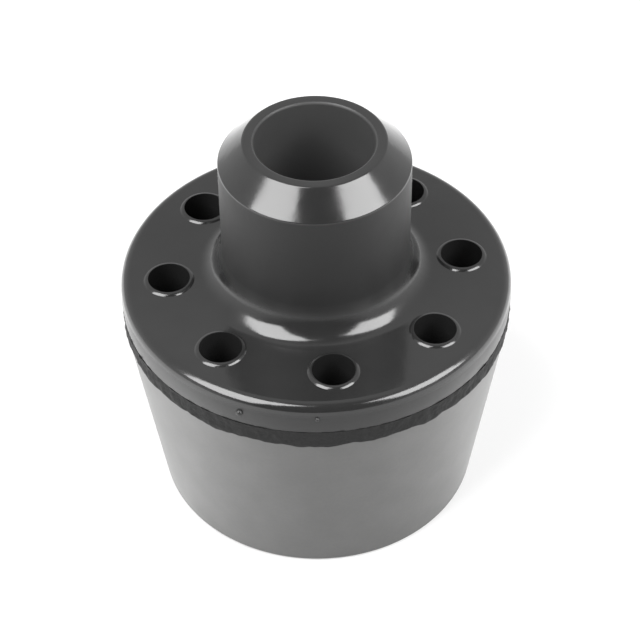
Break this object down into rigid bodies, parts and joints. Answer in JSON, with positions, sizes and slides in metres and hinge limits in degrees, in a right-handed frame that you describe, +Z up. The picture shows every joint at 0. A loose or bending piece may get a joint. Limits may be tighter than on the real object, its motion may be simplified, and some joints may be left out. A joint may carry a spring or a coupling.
{
  "type": "radiator mount",
  "caption": "Rubber bush with a flange, a chamfered neck and a through bore, moulded into a tapered metal sleeve, to carry a radiator's spigot.",
  "frame": {"origin": "centre of the sleeve's lower edge, which is the plane that the mount stands on", "axes": "+Z up along the bore, out of its mouth; +X through the middle of one core hole"},
  "size_m": [0.045, 0.045, 0.0484],
  "materials": {
    "sleeve_steel": "matt grey coat on pressed steel",
    "bush_rubber": "glossy black, moulded"
  },
  "bodies": {
    "root": {"outer_sleeve": "sleeve_steel", "rubber_bush": "bush_rubber"}
  },
  "joints": []
}
